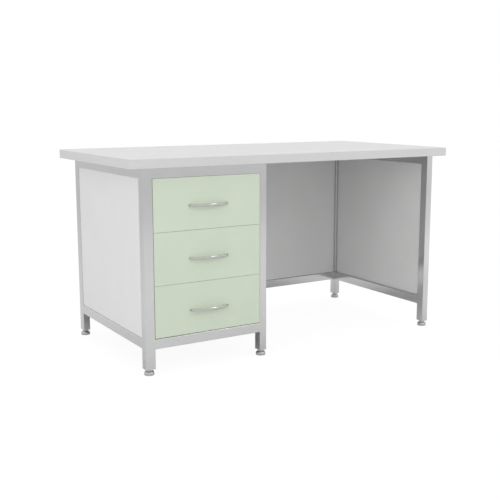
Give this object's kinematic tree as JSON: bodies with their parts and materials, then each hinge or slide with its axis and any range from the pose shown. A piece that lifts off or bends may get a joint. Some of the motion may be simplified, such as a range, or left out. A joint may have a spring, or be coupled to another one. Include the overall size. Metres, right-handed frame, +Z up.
{
  "type": "weighing balance table",
  "caption": "Laboratory weighing table: thick worktop on a steel tube frame with inset panels, a drawer pedestal at the left, a kneehole at the right and levelling feet.",
  "frame": {"origin": "on the floor under the middle of the worktop", "axes": "+X to the right along the front edge, +Y to the back, +Z up"},
  "size_m": [1.5, 0.75, 0.8],
  "materials": {
    "worktop_laminate": "matt pale grey laminate on board",
    "frame_steel": "bright smooth steel tube",
    "panel_white": "satin white laminate on board",
    "drawer_green": "satin pale green laminate on board",
    "drawer_box_paint": "light grey powder coat on folded sheet",
    "handle_chrome": "bright plated",
    "foot_steel": "zinc plated",
    "runner_zinc": "zinc plated",
    "batten_board": "bare board"
  },
  "bodies": {
    "table": {"worktop": "worktop_laminate", "leg_front_left": "frame_steel", "leg_front_middle": "frame_steel", "leg_front_right": "frame_steel", "leg_back_left": "frame_steel", "leg_back_middle": "frame_steel", "leg_back_right": "frame_steel", "top_rail_left": "frame_steel", "top_rail_middle": "frame_steel", "top_rail_right": "frame_steel", "top_rail_pedestal_front": "frame_steel", "top_rail_pedestal_back": "frame_steel", "top_rail_kneehole_back": "frame_steel", "bottom_rail_left": "frame_steel", "bottom_rail_middle": "frame_steel", "bottom_rail_right": "frame_steel", "bottom_rail_pedestal_front": "frame_steel", "bottom_rail_pedestal_back": "frame_steel", "bottom_rail_kneehole_back": "frame_steel", "panel_left_end": "panel_white", "panel_right_end": "panel_white", "panel_pedestal_side": "panel_white", "panel_pedestal_back": "panel_white", "panel_kneehole_back": "panel_white", "runner_batten_left": "batten_board", "runner_batten_right": "batten_board", "drawer_1_runner_left_outer": "runner_zinc", "drawer_1_runner_right_outer": "runner_zinc", "drawer_2_runner_left_outer": "runner_zinc", "drawer_2_runner_right_outer": "runner_zinc", "drawer_3_runner_left_outer": "runner_zinc", "drawer_3_runner_right_outer": "runner_zinc"},
    "drawer_1": {"drawer_1_front": "drawer_green", "drawer_1_box": "drawer_box_paint", "drawer_1_handle": "handle_chrome", "drawer_1_runner_left_inner": "runner_zinc", "drawer_1_runner_right_inner": "runner_zinc"},
    "drawer_1_runner_middles": {"drawer_1_runner_left_middle": "runner_zinc", "drawer_1_runner_right_middle": "runner_zinc"},
    "drawer_2": {"drawer_2_front": "drawer_green", "drawer_2_box": "drawer_box_paint", "drawer_2_handle": "handle_chrome", "drawer_2_runner_left_inner": "runner_zinc", "drawer_2_runner_right_inner": "runner_zinc"},
    "drawer_2_runner_middles": {"drawer_2_runner_left_middle": "runner_zinc", "drawer_2_runner_right_middle": "runner_zinc"},
    "drawer_3": {"drawer_3_front": "drawer_green", "drawer_3_box": "drawer_box_paint", "drawer_3_handle": "handle_chrome", "drawer_3_runner_left_inner": "runner_zinc", "drawer_3_runner_right_inner": "runner_zinc"},
    "drawer_3_runner_middles": {"drawer_3_runner_left_middle": "runner_zinc", "drawer_3_runner_right_middle": "runner_zinc"},
    "foot_front_left_body": {"foot_front_left": "foot_steel"},
    "foot_front_middle_body": {"foot_front_middle": "foot_steel"},
    "foot_front_right_body": {"foot_front_right": "foot_steel"},
    "foot_back_left_body": {"foot_back_left": "foot_steel"},
    "foot_back_middle_body": {"foot_back_middle": "foot_steel"},
    "foot_back_right_body": {"foot_back_right": "foot_steel"}
  },
  "joints": [
    {"name": "drawer_1_slide", "type": "slide", "parent": "table", "child": "drawer_1", "axis": [0, -1, 0], "range_m": [0, 0.55]},
    {"name": "drawer_1_runner_slide", "type": "slide", "parent": "table", "child": "drawer_1_runner_middles", "axis": [0, -1, 0], "range_m": [0, 0.275]},
    {"name": "drawer_2_slide", "type": "slide", "parent": "table", "child": "drawer_2", "axis": [0, -1, 0], "range_m": [0, 0.55]},
    {"name": "drawer_2_runner_slide", "type": "slide", "parent": "table", "child": "drawer_2_runner_middles", "axis": [0, -1, 0], "range_m": [0, 0.275]},
    {"name": "drawer_3_slide", "type": "slide", "parent": "table", "child": "drawer_3", "axis": [0, -1, 0], "range_m": [0, 0.55]},
    {"name": "drawer_3_runner_slide", "type": "slide", "parent": "table", "child": "drawer_3_runner_middles", "axis": [0, -1, 0], "range_m": [0, 0.275]},
    {"name": "foot_front_left_adjust", "type": "slide", "parent": "table", "child": "foot_front_left_body", "axis": [0, 0, -1], "range_m": [0, 0.02]},
    {"name": "foot_front_middle_adjust", "type": "slide", "parent": "table", "child": "foot_front_middle_body", "axis": [0, 0, -1], "range_m": [0, 0.02]},
    {"name": "foot_front_right_adjust", "type": "slide", "parent": "table", "child": "foot_front_right_body", "axis": [0, 0, -1], "range_m": [0, 0.02]},
    {"name": "foot_back_left_adjust", "type": "slide", "parent": "table", "child": "foot_back_left_body", "axis": [0, 0, -1], "range_m": [0, 0.02]},
    {"name": "foot_back_middle_adjust", "type": "slide", "parent": "table", "child": "foot_back_middle_body", "axis": [0, 0, -1], "range_m": [0, 0.02]},
    {"name": "foot_back_right_adjust", "type": "slide", "parent": "table", "child": "foot_back_right_body", "axis": [0, 0, -1], "range_m": [0, 0.02]}
  ],
  "couplings": [
    {"joint": "drawer_1_runner_slide", "follows": "drawer_1_slide", "ratio": 0.5},
    {"joint": "drawer_2_runner_slide", "follows": "drawer_2_slide", "ratio": 0.5},
    {"joint": "drawer_3_runner_slide", "follows": "drawer_3_slide", "ratio": 0.5}
  ]
}
